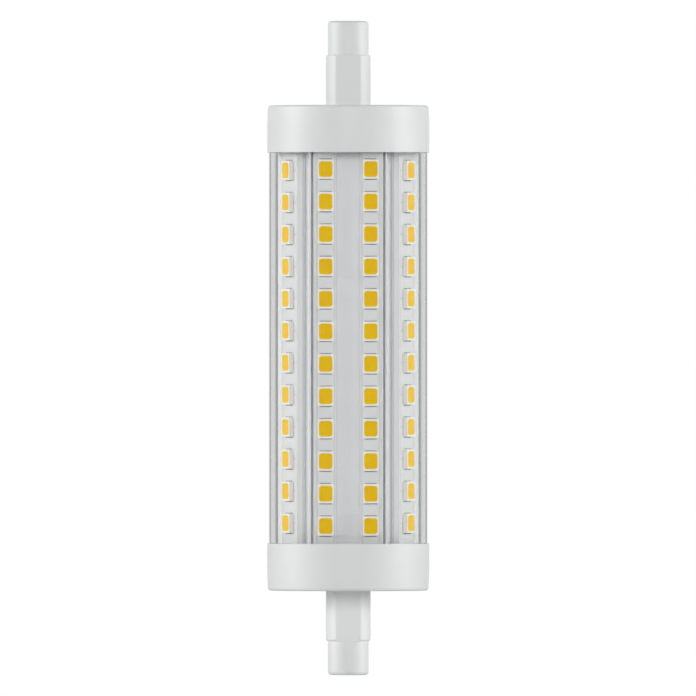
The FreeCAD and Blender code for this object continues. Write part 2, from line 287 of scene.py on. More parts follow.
def handed_over(piece, material, slot, *nodes):
    """Gives a finished piece its material and its body, and hides the nodes that it stands for.
    """
    piece.data.materials.clear()
    piece.data.materials.append(material)
    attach(piece, "root")
    if nodes:
        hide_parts(*nodes)


# Materials

def linear(code):
    """Linear colour from an sRGB hex value."""
    parts = [int(code[place:place + 2], 16) / 255 for place in (0, 2, 4)]
    return [part / 12.92 if part <= 0.04045 else ((part + 0.055) / 1.055) ** 2.4
            for part in parts] + [1]


def per_mm(size):
    """Texture scale for a pattern of a given size in millimetres."""
    return 1 / (size * MM)


def started(name):
    """New material with an empty node tree."""
    material = bpy.data.materials.new(name)
    material.use_nodes = True
    material.node_tree.nodes.clear()
    return material, material.node_tree


def add_node(tree, kind, sockets=None, **settings):
    """One node with its settings, its socket values and its links."""
    # A Mix node has its A and B once for each kind of value, so they go by number: 2 and 3
    # take numbers, 6 and 7 take colours, and a mixed colour comes out at 2
    node = tree.nodes.new(kind)
    for name, value in settings.items():
        setattr(node, name, value)
    for socket, value in (sockets or {}).items():
        if isinstance(value, bpy.types.NodeSocket):
            tree.links.new(value, node.inputs[socket])
        else:
            node.inputs[socket].default_value = value
    return node


def moulded_pbt():
    # White PBT, injection moulded in a finely eroded tool: satin, with a faint grain
    material, tree = started("moulded_white_pbt")
    place = add_node(tree, "ShaderNodeTexCoord").outputs["Object"]
    # Real grain is about 0.03 mm, drawn at 0.16 mm so that it shows
    grain = add_node(tree, "ShaderNodeTexNoise", {
        "Vector": place, "Scale": per_mm(0.16), "Detail": 3.0})
    # Flow of the melt leaves patches of a few millimetres, barely off the base colour
    flow = add_node(tree, "ShaderNodeTexNoise", {
        "Vector": place, "Scale": per_mm(6.0), "Detail": 1.0})
    colour = add_node(tree, "ShaderNodeMix", {
        "Factor": flow.outputs[0], 6: linear("E4E6E6"), 7: linear("E9EAE9")},
        data_type="RGBA")
    roughness = add_node(tree, "ShaderNodeMapRange", {
        "Value": grain.outputs[0], "To Min": 0.38, "To Max": 0.5})
    relief = add_node(tree, "ShaderNodeBump", {
        "Height": grain.outputs[0], "Strength": 0.12, "Distance": 0.02 * MM})
    shader = add_node(tree, "ShaderNodeBsdfPrincipled", {
        "Base Color": colour.outputs[2], "Roughness": roughness.outputs[0],
        "Normal": relief.outputs[0], "IOR": 1.55, "Specular IOR Level": 0.5})
    add_node(tree, "ShaderNodeOutputMaterial", {"Surface": shader.outputs[0]})
    return material


def extruded_polycarbonate():
    # Clear polycarbonate, drawn through a die: polished, with long faint lines along it
    material, tree = started("extruded_clear_polycarbonate")
    place = add_node(tree, "ShaderNodeTexCoord").outputs["Object"]
    drawn_out = add_node(tree, "ShaderNodeMapping", {
        "Vector": place, "Scale": (1.0, 1.0, 0.01)})
    lines = add_node(tree, "ShaderNodeTexNoise", {
        "Vector": drawn_out.outputs[0], "Scale": per_mm(1.5), "Detail": 2.0})
    relief = add_node(tree, "ShaderNodeBump", {
        "Height": lines.outputs[0], "Strength": 0.05, "Distance": 0.01 * MM})
    # Painted shade: the wall's colour goes greyer for light that was thrown back inside the
    # wall, or that crosses the whole tube. Light that the pieces inside throw out through the
    # wall keeps its colour
    rays = add_node(tree, "ShaderNodeLightPath").outputs
    thrown_back = add_node(tree, "ShaderNodeMapRange", {
        "Value": rays["Is Reflection Ray"], "To Max": 0.66})
    crossing = add_node(tree, "ShaderNodeMapRange", {
        "Value": rays["Is Reflection Ray"], "To Min": 0.12, "To Max": 0.0})
    past_the_wall = add_node(tree, "ShaderNodeMapRange", {
        "Value": rays["Transmission Depth"], "From Min": 1.0, "From Max": 2.0})
    inside = add_node(tree, "ShaderNodeMix", {
        "Factor": past_the_wall.outputs[0], 2: thrown_back.outputs[0], 3: crossing.outputs[0]})
    # The tube's rim and the line where the bore turns away from the eye get painted shade as
    # well
    turned = add_node(tree, "ShaderNodeLayerWeight", {"Blend": 0.5}).outputs["Facing"]
    rim = add_node(tree, "ShaderNodeMapRange", {
        "Value": turned, "From Min": 0.755, "From Max": 0.8})
    past_line = add_node(tree, "ShaderNodeMath", {0: turned, 1: 0.592}, operation="SUBTRACT")
    off_line = add_node(tree, "ShaderNodeMath", {0: past_line.outputs[0]}, operation="ABSOLUTE")
    bore_line = add_node(tree, "ShaderNodeMapRange", {
        "Value": off_line.outputs[0], "From Max": 0.034, "To Min": 0.72, "To Max": 0.0})
    edges = add_node(tree, "ShaderNodeMath", {
        0: rim.outputs[0], 1: bore_line.outputs[0]}, operation="ADD")
    # All the painted shade on the wall: greyed rays, the rim and the bore line
    painted_shade = add_node(tree, "ShaderNodeMath", {
        0: inside.outputs[0], 1: edges.outputs[0]}, operation="ADD")
    # Painted shade darkens the colour that the wall passes on, towards grey
    painted_shade_colour = add_node(tree, "ShaderNodeMix", {
        "Factor": painted_shade.outputs[0], 6: linear("FDFEFE"), 7: linear("101212")},
        data_type="RGBA")
    shader = add_node(tree, "ShaderNodeBsdfPrincipled", {
        "Base Color": painted_shade_colour.outputs[2], "Roughness": 0.03, "IOR": 1.585,
        "Transmission Weight": 1.0, "Specular Tint": linear("3A3A3A"),
        "Normal": relief.outputs[0]})
    # Light from the lamps and from the boards passes the wall, as it does in the real tube
    passing = add_node(tree, "ShaderNodeMath", {
        0: rays["Is Shadow Ray"], 1: rays["Is Diffuse Ray"]}, operation="MAXIMUM")
    open_air = add_node(tree, "ShaderNodeBsdfTransparent", {"Color": linear("FDFEFE")})
    wall = add_node(tree, "ShaderNodeMixShader", {
        0: passing.outputs[0], 1: shader.outputs[0], 2: open_air.outputs[0]})
    add_node(tree, "ShaderNodeOutputMaterial", {"Surface": wall.outputs[0]})
    return material


def nickel_plated_brass():
    # Nickel-plated brass, turned: bright, with fine rings round the axis
    material, tree = started("nickel_plated_brass")
    place = add_node(tree, "ShaderNodeTexCoord").outputs["Object"]
    flat = add_node(tree, "ShaderNodeMapping", {"Vector": place, "Scale": (1.0, 1.0, 0.0)})
    # Feed marks are 0.05 mm apart, drawn at 0.12 mm so that they show
    rings = add_node(tree, "ShaderNodeTexWave", {
        "Vector": flat.outputs[0], "Scale": per_mm(0.12) / math.tau, "Distortion": 0.4},
        wave_type="RINGS", rings_direction="Z")
    haze = add_node(tree, "ShaderNodeTexNoise", {
        "Vector": place, "Scale": per_mm(0.7), "Detail": 3.0})
    roughness = add_node(tree, "ShaderNodeMapRange", {
        "Value": haze.outputs[0], "To Min": 0.16, "To Max": 0.34})
    relief = add_node(tree, "ShaderNodeBump", {
        "Height": rings.outputs["Fac"], "Strength": 0.25, "Distance": 0.01 * MM})
    shader = add_node(tree, "ShaderNodeBsdfPrincipled", {
        "Base Color": linear("CFCAC0"), "Metallic": 1.0, "Roughness": roughness.outputs[0],
        "Normal": relief.outputs[0]})
    add_node(tree, "ShaderNodeOutputMaterial", {"Surface": shader.outputs[0]})
    return material


def extruded_aluminium():
    # Aluminium 6063, extruded and etched: satin and pale, with die lines along its length
    material, tree = started("etched_extruded_aluminium")
    place = add_node(tree, "ShaderNodeTexCoord").outputs["Object"]
    drawn_out = add_node(tree, "ShaderNodeMapping", {
        "Vector": place, "Scale": (1.0, 1.0, 0.004)})
    # Die lines are 0.05 to 0.3 mm wide, drawn at 0.25 mm
    lines = add_node(tree, "ShaderNodeTexNoise", {
        "Vector": drawn_out.outputs[0], "Scale": per_mm(0.25), "Detail": 2.0})
    # Streaks of the etch are a few millimetres wide
    streaks = add_node(tree, "ShaderNodeTexNoise", {
        "Vector": drawn_out.outputs[0], "Scale": per_mm(2.6), "Detail": 1.0})
    bloom = add_node(tree, "ShaderNodeTexNoise", {
        "Vector": place, "Scale": per_mm(2.5), "Detail": 3.0})
    shade = add_node(tree, "ShaderNodeMix", {
        "Factor": 0.6, 2: lines.outputs[0], 3: streaks.outputs[0]})
    colour = add_node(tree, "ShaderNodeMix", {
        "Factor": shade.outputs[0], 6: linear("D2D2D4"), 7: linear("E2E2E3")},
        data_type="RGBA")
    roughness = add_node(tree, "ShaderNodeMapRange", {
        "Value": bloom.outputs[0], "To Min": 0.46, "To Max": 0.6})
    relief = add_node(tree, "ShaderNodeBump", {
        "Height": lines.outputs[0], "Strength": 0.2, "Distance": 0.01 * MM})
    shader = add_node(tree, "ShaderNodeBsdfPrincipled", {
        "Base Color": colour.outputs[2], "Metallic": 0.12, "Roughness": roughness.outputs[0],
        "Normal": relief.outputs[0]})
    add_node(tree, "ShaderNodeOutputMaterial", {"Surface": shader.outputs[0]})
    return material


def white_solder_mask(name, width, pitch, rise):
    # Screen-printed white solder mask over copper: smooth, standing a little higher on the
    # copper, whose fields end in a gap under each package and short of the board's edges
    material, tree = started(name)
    place = add_node(tree, "ShaderNodeTexCoord").outputs["UV"]
    parts = add_node(tree, "ShaderNodeSeparateXYZ", {"Vector": place})
    across = add_node(tree, "ShaderNodeMath", {0: parts.outputs[0]}, operation="ABSOLUTE")
    edge = width / 2
    margin = add_node(tree, "ShaderNodeMapRange", {
        "Value": across.outputs[0], "From Min": edge - COPPER_MARGIN[1],
        "From Max": edge - COPPER_MARGIN[0], "To Min": 1.0, "To Max": 0.0})
    shifted = add_node(tree, "ShaderNodeMath", {
        0: parts.outputs[1], 1: rise}, operation="SUBTRACT")
    along = add_node(tree, "ShaderNodeMath", {
        0: shifted.outputs[0], 1: pitch, 2: 0.0}, operation="WRAP")
    past_split = add_node(tree, "ShaderNodeMath", {
        0: along.outputs[0], 1: pitch / 2}, operation="SUBTRACT")
    off_split = add_node(tree, "ShaderNodeMath", {
        0: past_split.outputs[0]}, operation="ABSOLUTE")
    field = add_node(tree, "ShaderNodeMapRange", {
        "Value": off_split.outputs[0], "From Min": COPPER_SPLIT[0], "From Max": COPPER_SPLIT[1]})
    copper = add_node(tree, "ShaderNodeMath", {
        0: margin.outputs[0], 1: field.outputs[0]}, operation="MULTIPLY")
    printed = add_node(tree, "ShaderNodeMix", {
        "Factor": copper.outputs[0], 6: linear("D9D9D9"), 7: linear("E4E3E3")},
        data_type="RGBA")
    # The sawn aluminium at the strip's long edges is paler than the mask
    sawn = add_node(tree, "ShaderNodeMapRange", {
        "Value": across.outputs[0], "From Min": edge - SAWN_EDGE[1],
        "From Max": edge - SAWN_EDGE[0]})
    colour = add_node(tree, "ShaderNodeMix", {
        "Factor": sawn.outputs[0], 6: printed.outputs[2], 7: linear("F2F2F0")},
        data_type="RGBA")
    print_grain = add_node(tree, "ShaderNodeTexNoise", {
        "Vector": add_node(tree, "ShaderNodeTexCoord").outputs["Object"],
        "Scale": per_mm(0.35), "Detail": 2.0})
    roughness = add_node(tree, "ShaderNodeMapRange", {
        "Value": print_grain.outputs[0], "To Min": 0.32, "To Max": 0.46})
    # Copper foil stands 0.035 mm high
    relief = add_node(tree, "ShaderNodeBump", {
        "Height": copper.outputs[0], "Strength": 0.6, "Distance": 0.035 * MM})
    shader = add_node(tree, "ShaderNodeBsdfPrincipled", {
        "Base Color": colour.outputs[2], "Roughness": roughness.outputs[0],
        "Normal": relief.outputs[0]})
    add_node(tree, "ShaderNodeOutputMaterial", {"Surface": shader.outputs[0]})
    return material


def moulded_ppa():
    # White polyphthalamide, moulded round the package's lead frame: warm white and satin
    material, tree = started("moulded_white_polyphthalamide")
    place = add_node(tree, "ShaderNodeTexCoord").outputs["Object"]
    fibres = add_node(tree, "ShaderNodeTexNoise", {
        "Vector": place, "Scale": per_mm(0.2), "Detail": 3.0})
    colour = add_node(tree, "ShaderNodeMix", {
        "Factor": fibres.outputs[0], 6: linear("F3F0E6"), 7: linear("FAF8F1")},
        data_type="RGBA")
    relief = add_node(tree, "ShaderNodeBump", {
        "Height": fibres.outputs[0], "Strength": 0.1, "Distance": 0.01 * MM})
    shader = add_node(tree, "ShaderNodeBsdfPrincipled", {
        "Base Color": colour.outputs[2], "Roughness": 0.4, "Normal": relief.outputs[0]})
    add_node(tree, "ShaderNodeOutputMaterial", {"Surface": shader.outputs[0]})
    return material


def phosphor_silicone():
    # Clear silicone cast full of yellow phosphor powder: a dull skin over a grainy yellow
    material, tree = started("phosphor_filled_silicone")
    place = add_node(tree, "ShaderNodeTexCoord").outputs["Object"]
    # Powder grains are 0.02 mm, drawn at 0.12 mm so that they show
    powder = add_node(tree, "ShaderNodeTexNoise", {
        "Vector": place, "Scale": per_mm(0.12), "Detail": 2.0})
    settled = add_node(tree, "ShaderNodeTexNoise", {
        "Vector": place, "Scale": per_mm(2.2), "Detail": 1.0})
    amount = add_node(tree, "ShaderNodeMix", {
        "Factor": 0.35, 2: settled.outputs[0], 3: powder.outputs[0]})
    colour = add_node(tree, "ShaderNodeMix", {
        "Factor": amount.outputs[0], 6: linear("FFBA00"), 7: linear("FFDA00")},
        data_type="RGBA")
    shader = add_node(tree, "ShaderNodeBsdfPrincipled", {
        "Base Color": colour.outputs[2], "Roughness": 0.45, "IOR": 1.41,
        "Specular IOR Level": 0.15})
    add_node(tree, "ShaderNodeOutputMaterial", {"Surface": shader.outputs[0]})
    return material


def tinned_solder():
    # Reflowed tin solder: grey and frosted
    material, tree = started("reflowed_tin_solder")
    place = add_node(tree, "ShaderNodeTexCoord").outputs["Object"]
    frost = add_node(tree, "ShaderNodeTexNoise", {
        "Vector": place, "Scale": per_mm(0.15), "Detail": 3.0})
    roughness = add_node(tree, "ShaderNodeMapRange", {
        "Value": frost.outputs[0], "To Min": 0.3, "To Max": 0.45})
    shader = add_node(tree, "ShaderNodeBsdfPrincipled", {
        "Base Color": linear("A2A2A0"), "Metallic": 0.35, "Roughness": roughness.outputs[0]})
    add_node(tree, "ShaderNodeOutputMaterial", {"Surface": shader.outputs[0]})
    return material


def speckled(name, dark, light, size, roughness, sheen=0.0):
    """Dielectric with a mottled colour of a given size in millimetres and a matching relief."""
    material, tree = started(name)
    place = add_node(tree, "ShaderNodeTexCoord").outputs["Object"]
    mottle = add_node(tree, "ShaderNodeTexNoise", {
        "Vector": place, "Scale": per_mm(size), "Detail": 4.0})
    colour = add_node(tree, "ShaderNodeMix", {
        "Factor": mottle.outputs[0], 6: linear(dark), 7: linear(light)}, data_type="RGBA")
    relief = add_node(tree, "ShaderNodeBump", {
        "Height": mottle.outputs[0], "Strength": 0.2, "Distance": 0.02 * MM})
    shader = add_node(tree, "ShaderNodeBsdfPrincipled", {
        "Base Color": colour.outputs[2], "Roughness": roughness, "Coat Weight": sheen,
        "Normal": relief.outputs[0]})
    add_node(tree, "ShaderNodeOutputMaterial", {"Surface": shader.outputs[0]})
    return material


def wound_copper():
    # Enamelled copper wire, wound: turns 0.35 mm apart, with painted shade in the gaps between
    # them
    material, tree = started("enamelled_copper_wire")
    place = add_node(tree, "ShaderNodeTexCoord").outputs["Object"]
    turns = add_node(tree, "ShaderNodeTexWave", {
        "Vector": place, "Scale": per_mm(0.35) / math.tau, "Distortion": 0.3},
        bands_direction="Z")
    # The copper's own colour on each turn, and painted shade in the gaps between turns
    colour = add_node(tree, "ShaderNodeMix", {
        "Factor": turns.outputs["Fac"], 6: linear("5A2A12"), 7: linear("C9743A")},
        data_type="RGBA")
    relief = add_node(tree, "ShaderNodeBump", {
        "Height": turns.outputs["Fac"], "Strength": 0.8, "Distance": 0.1 * MM})
    shader = add_node(tree, "ShaderNodeBsdfPrincipled", {
        "Base Color": colour.outputs[2], "Metallic": 0.8, "Roughness": 0.3,
        "Normal": relief.outputs[0]})
    add_node(tree, "ShaderNodeOutputMaterial", {"Surface": shader.outputs[0]})
    return material


# Turned and moulded pieces

def end_cap(pbt):
    """White cup and barrel in one, with two flats, a stepped bore and stops inside."""
    bore = CONTACT_PIN_RADIUS + GAP
    head_bore = CONTACT_HEAD_RADIUS + GAP
    mouth_bore = TUBE_REBATE_RADIUS + GAP
    cap = spun("upper_cap", [
        (RECESS_RADIUS, HALF_LENGTH),
        (NOSE_RADIUS, HALF_LENGTH),
        (NOSE_RADIUS, SHOULDER),
        (BARREL_RADIUS, SHOULDER),
        (BARREL_RADIUS, CAP_OUTER),
        (CAP_END_RADIUS, CAP_OUTER),
        (CAP_RADIUS, CAP_OUTER - CAP_TAPER),
        (CAP_RADIUS, CAP_MOUTH),
        (mouth_bore, CAP_MOUTH),
        (mouth_bore, CAP_FLOOR),
        (bore, CAP_FLOOR),
        (bore, CONTACT_SEAT),
        (head_bore, CONTACT_SEAT),
        (head_bore, CONTACT_FACE),
        (RECESS_RADIUS, CONTACT_FACE),
    ], [
        ((RECESS_RADIUS, HALF_LENGTH), RECESS_ROUND),
        ((NOSE_RADIUS, HALF_LENGTH), NOSE_ROUND),
        ((NOSE_RADIUS, SHOULDER), NOSE_FOOT_ROUND),
        ((BARREL_RADIUS, SHOULDER), SHOULDER_ROUND),
        ((BARREL_RADIUS, CAP_OUTER), BARREL_FOOT_ROUND),
        ((CAP_END_RADIUS, CAP_OUTER), CAP_END_ROUND),
        ((CAP_RADIUS, CAP_MOUTH), LIP_ROUND),
        ((mouth_bore, CAP_MOUTH), LIP_INNER_ROUND),
    ], CAP_STEPS)
    for turn in (0, 180):
        cut_away(cap, flat_cutter(turn))
    joined([cap] + cap_stops())
    smoothed(cap, 24)
    lower = copied(cap, "lower_cap", turn=(180, 0, 0))
    handed_over(cap, pbt, "cap_plastic", "upper_end_cap")
    handed_over(lower, pbt, "cap_plastic", "lower_end_cap")


def extruded_across(name, outline, reach):
    """Closed (out, z) outline in millimetres, as far left as right of the front's middle."""
    corners = [Vector((-reach, -out, z)) * MM for out, z in outline]
    piece = drawn(name, corners)
    bpy.ops.mesh.select_all(action="SELECT")
    bpy.ops.mesh.edge_face_add()
    bpy.ops.mesh.extrude_region_move(TRANSFORM_OT_translate={"value": (2 * reach * MM, 0, 0)})
    bpy.ops.mesh.select_all(action="SELECT")
    bpy.ops.mesh.normals_make_consistent(inside=False)
    bpy.ops.object.mode_set(mode="OBJECT")
    return piece


def flat_cutter(turn):
    """Block that cuts one flat of the barrel, from the cap up to the shoulder."""
    clear = 1.25 * BARREL_RADIUS
    cutter = cube("flat_cutter", (-clear, -clear, CAP_OUTER + FLAT_FOOT),
                  (clear, -FLAT_DISTANCE, SHOULDER + GAP / 2))
    cutter.rotation_euler = (0, 0, math.radians(turn))
    choose(cutter)
    apply_place()
    return cutter


def cap_stops():
    """Six ribs on the cap's floor, each with a finger that enters the heat sink's bore."""
    sleeve_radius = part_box("insulating_sleeve")[1][0] / MM
    outer = math.sqrt(sleeve_radius ** 2 - (STOP_WIDTH / 2) ** 2)
    inner = outer - FINGER_THICKNESS
    land = -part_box("led_board_1")[1][1] / MM
    wall = (TUBE_REBATE_RADIUS + CAP_RADIUS) / 2
    rib = extruded_across("stop", [
        (inner, FINGER_END),
        (outer, FINGER_END),
        (outer, STOP),
        (land, STOP),
        (land, TUBE_SEAT),
        (wall, TUBE_SEAT),
        (wall, CAP_FLOOR + GAP),
        (inner, CAP_FLOOR + GAP),
    ], STOP_WIDTH / 2)
    rounded_edges(rib, STOP_CHAMFER, 1)
    turns = [360 / STOP_COUNT * index for index in range(1, STOP_COUNT)]
    return [rib] + [copied(rib, "stop", turn=(0, 0, turn)) for turn in turns]


def cover_tube(polycarbonate):
    """Clear tube, thinned at both ends to enter the caps."""
    half_profile = [
        (TUBE_RADIUS, CAP_MOUTH),
        (TUBE_REBATE_RADIUS, CAP_MOUTH),
        (TUBE_REBATE_RADIUS, TUBE_END),
        (TUBE_BORE_RADIUS, TUBE_END),
    ]
    profile = half_profile + [(radius, -z) for radius, z in reversed(half_profile)]
    rounds = [((TUBE_RADIUS, place), TUBE_ROUND) for place in (CAP_MOUTH, -CAP_MOUTH)]
    tube = spun("clear_tube", profile, rounds, TUBE_STEPS)
    smoothed(tube)
    handed_over(tube, polycarbonate, "clear_tube", "cover_tube")


def contact_pins(nickel):
    """Turned contact with a dimpled head in each barrel's recess."""
    pin = spun("upper_contact_pin", [
        (0, CONTACT_FACE - CONTACT_DIMPLE),
        (CONTACT_HEAD_RADIUS / 2, CONTACT_FACE),
        (CONTACT_HEAD_RADIUS, CONTACT_FACE),
        (CONTACT_HEAD_RADIUS, CONTACT_SEAT),
        (CONTACT_PIN_RADIUS, CONTACT_SEAT),
        (CONTACT_PIN_RADIUS, CONTACT_TAIL),
        (0, CONTACT_TAIL),
    ], [
        ((CONTACT_HEAD_RADIUS / 2, CONTACT_FACE), DIMPLE_ROUND),
        ((CONTACT_HEAD_RADIUS, CONTACT_FACE), CONTACT_HEAD_ROUND),
        ((CONTACT_PIN_RADIUS, CONTACT_TAIL), CONTACT_TAIL_ROUND),
    ], CONTACT_STEPS, closed=False)
    smoothed(pin)
    lower = copied(pin, "lower_contact_pin", turn=(180, 0, 0))
    handed_over(pin, nickel, "contact_metal", "upper_contact")
    handed_over(lower, nickel, "contact_metal", "lower_contact")


def sink_extrusion(aluminium):
    """The heat sink's profile with its edges rounded as the die leaves them."""
    choose(NODES["heat_sink"])
    bpy.ops.object.duplicate(linked=False)
    sink = named("sink_extrusion")
    bpy.ops.object.mode_set(mode="EDIT")
    bpy.ops.mesh.select_all(action="SELECT")
    bpy.ops.mesh.remove_doubles(threshold=WELD)
    bpy.ops.mesh.dissolve_limited(angle_limit=math.radians(0.5))
    bpy.ops.object.mode_set(mode="OBJECT")
    rounded_edges(sink, SINK_EDGE_ROUND, 2, 25)
    smoothed(sink, 40)
    handed_over(sink, aluminium, "sink_aluminium", "heat_sink")


# Boards with their diodes

def board_rows():
    """One (turn, side, kind) for each board, in the order of their numbers."""
    rows = []
    for land in range(6):
        turn = land * 60
        if land % 2:
            rows.append((turn, 0, "single"))
        else:
            rows += [(turn, -1, "paired"), (turn, 1, "paired")]
    return rows


def board_strip(name, across, width, seat, low, high):
    """Aluminium-backed strip facing the front, with rounded corners and broken edges."""
    middle = -seat - BOARD_THICKNESS / 2
    # The strip also fills the sliding gap to the rails
    reach = width / 2 + GAP
    strip = cube(name, (across - reach, -seat - BOARD_THICKNESS, low),
                 (across + reach, -seat, high))
    bpy.ops.object.mode_set(mode="EDIT")
    pick("EDGE", lambda at: abs(at.y - middle * MM) < NEAR
         and min(abs(at.z - low * MM), abs(at.z - high * MM)) < NEAR)
    bpy.ops.mesh.bevel(offset_type="OFFSET", offset=BOARD_CORNER_ROUND * MM, segments=4,
                       affect="EDGES")
    bpy.ops.object.mode_set(mode="OBJECT")
    rounded_edges(strip, BOARD_EDGE_CHAMFER, 1)
    smoothed(strip)
    layer = strip.data.uv_layers.active
    for loop in strip.data.loops:
        place = strip.data.vertices[loop.vertex_index].co / MM
        layer.data[loop.index].uv = (place.x - across, place.z)
    return strip


def package_pair():
    """The white frame and the yellow fill of one package, facing the front at y = 0."""
    width, depth, length = PACKAGE_SIZE
    wide, tall = width / 2 - WINDOW_SIDE_BORDER, length / 2 - WINDOW_END_BORDER
    fill = drawn("diode_fill", [Vector((x, 0, z)) * MM for x, z in (
        (-wide, -tall), (wide, -tall), (wide, tall), (-wide, tall))])
    bpy.ops.mesh.select_all(action="SELECT")
    bpy.ops.mesh.edge_face_add()
    bpy.ops.mesh.select_all(action="SELECT")
    bpy.ops.mesh.bevel(offset_type="OFFSET", affect="VERTICES", offset=WINDOW_ROUND * MM,
                       segments=4)
    bpy.ops.mesh.select_all(action="SELECT")
    bpy.ops.mesh.extrude_region_move(
        TRANSFORM_OT_translate={"value": (0, (WINDOW_DEPTH - PHOSPHOR_DROP) * MM, 0)})
    bpy.ops.mesh.select_all(action="SELECT")
    bpy.ops.mesh.normals_make_consistent(inside=False)
    bpy.ops.object.mode_set(mode="OBJECT")
    # The cutter starts in front of the package, and the fill ends as far behind the cutter's end
    cutter = copied(fill, "window_cutter")
    cutter.scale.y = WINDOW_DEPTH / (WINDOW_DEPTH - PHOSPHOR_DROP)
    cutter.location.y = -PHOSPHOR_DROP * MM
    choose(cutter)
    apply_place()
    body = cube("diode_frame", (-width / 2, 0, -length / 2), (width / 2, depth, length / 2))
    bpy.ops.object.mode_set(mode="EDIT")
    pick("EDGE", lambda at: abs(abs(at.x) - width / 2 * MM) < NEAR
         and abs(abs(at.z) - length / 2 * MM) < NEAR)
    bpy.ops.mesh.bevel(offset_type="OFFSET", offset=PACKAGE_CORNER_ROUND * MM, segments=2,
                       affect="EDGES")
    bpy.ops.object.mode_set(mode="OBJECT")
    cut_away(body, cutter)
    choose(fill)
    fill.location.y = PHOSPHOR_DROP * MM
    apply_place()
    return body, fill


def row_of(template, name, across, front, low, pitch, turn):
    """Twelve copies along one board, turned to the board's land."""
    row = copied(template, name, place=(across, front, low))
    bpy.ops.object.modifier_add(type="ARRAY")
    array = row.modifiers[-1]
    array.count = PACKAGE_COUNT
    array.use_relative_offset = False
    array.use_constant_offset = True
    array.constant_offset_displace = (0, 0, pitch * MM)
    bpy.ops.object.modifier_apply(modifier=array.name)
    row.rotation_euler = (0, 0, math.radians(turn))
    apply_place()
    return row


def solder_joint():
    """Fillet of solder between a package's lead and its pad, at both ends of a package."""
    width, depth, length = PACKAGE_SIZE
    half = width / 2 - SOLDER_INSET
    joint = cube("solder_joint", (-half, depth - SOLDER_HEIGHT, length / 2 - SOLDER_OVERLAP),
                 (half, depth, length / 2 + SOLDER_REACH))
    bpy.ops.object.mode_set(mode="EDIT")
    pick("EDGE", lambda at: at.y < (depth - SOLDER_HEIGHT / 2) * MM and at.z > length / 2 * MM)
    bpy.ops.mesh.bevel(offset_type="OFFSET", offset=SOLDER_SLOPE * MM, segments=1,
                       affect="EDGES")
    bpy.ops.object.mode_set(mode="OBJECT")
    other = copied(joint, "solder_joint", turn=(0, 180, 0))
    return joined([joint, other])


def boards_and_diodes():
    """All nine boards with their packages, fills and solder joints."""
    ppa, silicone, solder = moulded_ppa(), phosphor_silicone(), tinned_solder()
    body, fill = package_pair()
    joint = solder_joint()
    low, high = (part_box("led_board_1")[end][2] / MM for end in (0, 1))
    paired_low, paired_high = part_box("led_board_2")
    paired_across = (paired_low[0] + paired_high[0]) / 2 / MM
    # Width, pitch, rise, distance of the board's back from the axis, and mask of each kind
    kinds = {}
    for kind, width, pitch, rise, seat in (
            ("paired", PAIRED_BOARD_WIDTH, PAIRED_PITCH, PAIRED_RISE, -paired_high[1] / MM),
            ("single", SINGLE_BOARD_WIDTH, SINGLE_PITCH, SINGLE_RISE,
             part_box("led_board_6")[0][1] / MM)):
        mask = white_solder_mask(f"solder_mask_on_{kind}_board", width, pitch, rise)
        kinds[kind] = width, pitch, rise, seat, mask
    for number, (turn, side, kind) in enumerate(board_rows(), start=1):
        width, pitch, rise, seat, mask = kinds[kind]
        across = side * paired_across
        flat = board_strip("strip", across, width, seat, low, high)
        strip = copied(flat, f"board_strip_{number}", turn=(0, 0, turn))
        bpy.data.objects.remove(flat)
        front = -seat - BOARD_THICKNESS - PACKAGE_SIZE[1]
        start = rise - pitch * (PACKAGE_COUNT - 1) / 2
        frames = row_of(body, f"diode_frames_{number}", across, front, start, pitch, turn)
        fills = row_of(fill, f"diode_fills_{number}", across, front, start, pitch, turn)
        joints = row_of(joint, f"solder_joints_{number}", across, front, start, pitch, turn)
        handed_over(strip, mask, "board_white", f"led_board_{number}")
        handed_over(frames, ppa, "package_white", f"led_housings_{number}")
        handed_over(fills, silicone, "phosphor", f"led_phosphors_{number}")
        handed_over(joints, solder, "contact_metal")
        smoothed(frames)
        smoothed(joints)
    for template in (body, fill, joint):
        bpy.data.objects.remove(template)


# Pieces inside the caps and the heat sink, which keep their frame shapes

